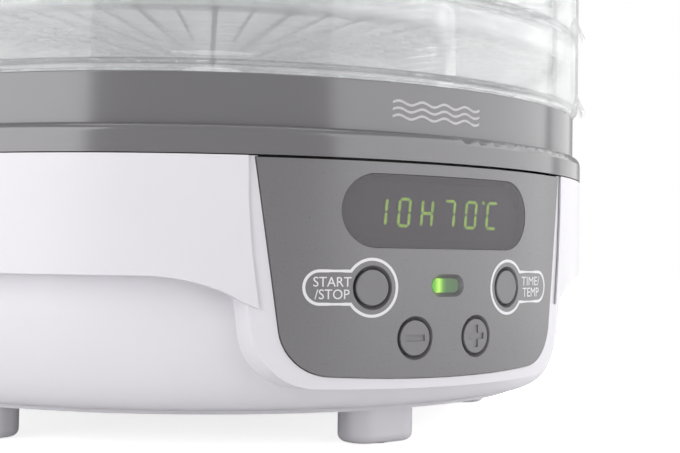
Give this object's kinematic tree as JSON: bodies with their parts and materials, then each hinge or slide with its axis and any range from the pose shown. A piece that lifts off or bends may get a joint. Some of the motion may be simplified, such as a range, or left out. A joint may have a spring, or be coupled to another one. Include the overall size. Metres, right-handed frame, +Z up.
{
  "type": "stacking tray dryer",
  "caption": "Round fan-heated dryer: white base with a curved grey digital control panel, stacking clear trays with mesh floors and a vented lid.",
  "frame": {"origin": "centre of the footprint, on the surface that the feet stand on; Z runs up the dryer's own axis", "axes": "+Z up, control panel faces -Y, +X is the right-hand side seen from the front"},
  "size_m": [0.3264, 0.3264, 0.3036],
  "materials": {
    "white_shell": "satin injection-moulded white plastic",
    "grey_cover": "satin moulded grey plastic",
    "grey_panel": "fine-textured grey plastic with white print",
    "button_grey": "satin grey keycap plastic",
    "display_window": "smoked clear plastic",
    "indicator_green": "translucent diffusing plastic",
    "clear_tray": "clear polished food-grade plastic",
    "black_plastic": "black moulded plastic",
    "circuit_board": "green solder mask",
    "relay_blue": "moulded blue case",
    "zinc_steel": "zinc-plated steel",
    "duct_steel": "rolled bright sheet",
    "mica": "mica board",
    "heater_wire": "nickel-chrome coil",
    "rubber_black": "soft matt rubber"
  },
  "bodies": {
    "base": {"lower_housing": "white_shell", "upper_band": "white_shell", "bottom_cover": "white_shell", "top_cover": "grey_cover", "air_grille": "grey_cover", "control_panel": "grey_panel", "display_lens": "display_window", "indicator_light_pipe": "indicator_green", "tactile_switches": "black_plastic", "control_board": "circuit_board", "control_board_screws": "zinc_steel", "display_module": "black_plastic", "indicator_leds": "indicator_green", "heat_duct": "duct_steel", "motor_bracket": "zinc_steel", "fan_motor": "zinc_steel", "motor_screws": "zinc_steel", "heater_frame": "mica", "heater_coil": "heater_wire", "thermal_cutout": "black_plastic", "thermal_fuse": "duct_steel", "temperature_sensor": "duct_steel", "power_board": "circuit_board", "board_standoffs": "white_shell", "power_board_screws": "zinc_steel", "relay": "relay_blue", "filter_capacitor": "black_plastic", "terminal_block": "relay_blue", "cord_grommet": "rubber_black", "foot_pads": "rubber_black", "bottom_cover_screws": "zinc_steel", "foot_1": "white_shell", "foot_2": "white_shell", "foot_3": "white_shell", "foot_4": "white_shell", "foot_5": "white_shell"},
    "fan": {"fan_impeller": "black_plastic", "motor_shaft": "zinc_steel"},
    "start_stop_button": {"start_stop_button": "button_grey"},
    "time_temp_button": {"time_temp_button": "button_grey"},
    "minus_button": {"minus_button": "button_grey"},
    "plus_button": {"plus_button": "button_grey"},
    "lid": {"lid": "clear_tray"},
    "tray_1": {"tray_1_rim": "clear_tray", "tray_1_mesh": "clear_tray"},
    "tray_2": {"tray_2_rim": "clear_tray", "tray_2_mesh": "clear_tray"},
    "tray_3": {"tray_3_rim": "clear_tray", "tray_3_mesh": "clear_tray"},
    "tray_4": {"tray_4_rim": "clear_tray", "tray_4_mesh": "clear_tray"},
    "tray_5": {"tray_5_rim": "clear_tray", "tray_5_mesh": "clear_tray"}
  },
  "joints": [
    {"name": "fan_spin", "type": "hinge", "parent": "base", "child": "fan", "pos_m": [0, 0, 0.0685], "axis": [0, 0, 1], "continuous": true},
    {"name": "start_stop_press", "type": "slide", "parent": "base", "child": "start_stop_button", "axis": [0.1874, 0.9823, 0], "range_m": [0, 0.001], "stiffness_N_per_m": 900},
    {"name": "time_temp_press", "type": "slide", "parent": "base", "child": "time_temp_button", "axis": [-0.1874, 0.9823, 0], "range_m": [0, 0.001], "stiffness_N_per_m": 900},
    {"name": "minus_press", "type": "slide", "parent": "base", "child": "minus_button", "axis": [0.0845, 0.9964, 0], "range_m": [0, 0.001], "stiffness_N_per_m": 900},
    {"name": "plus_press", "type": "slide", "parent": "base", "child": "plus_button", "axis": [-0.0845, 0.9964, 0], "range_m": [0, 0.001], "stiffness_N_per_m": 900},
    {"name": "tray_1_lift", "type": "slide", "parent": "base", "child": "tray_1", "axis": [0, 0, 1], "range_m": [0, 0.06]},
    {"name": "tray_2_lift", "type": "slide", "parent": "tray_1", "child": "tray_2", "axis": [0, 0, 1], "range_m": [0, 0.06]},
    {"name": "tray_3_lift", "type": "slide", "parent": "tray_2", "child": "tray_3", "axis": [0, 0, 1], "range_m": [0, 0.06]},
    {"name": "tray_4_lift", "type": "slide", "parent": "tray_3", "child": "tray_4", "axis": [0, 0, 1], "range_m": [0, 0.06]},
    {"name": "tray_5_lift", "type": "slide", "parent": "tray_4", "child": "tray_5", "axis": [0, 0, 1], "range_m": [0, 0.06]},
    {"name": "lid_lift", "type": "slide", "parent": "tray_5", "child": "lid", "axis": [0, 0, 1], "range_m": [0, 0.06]}
  ]
}
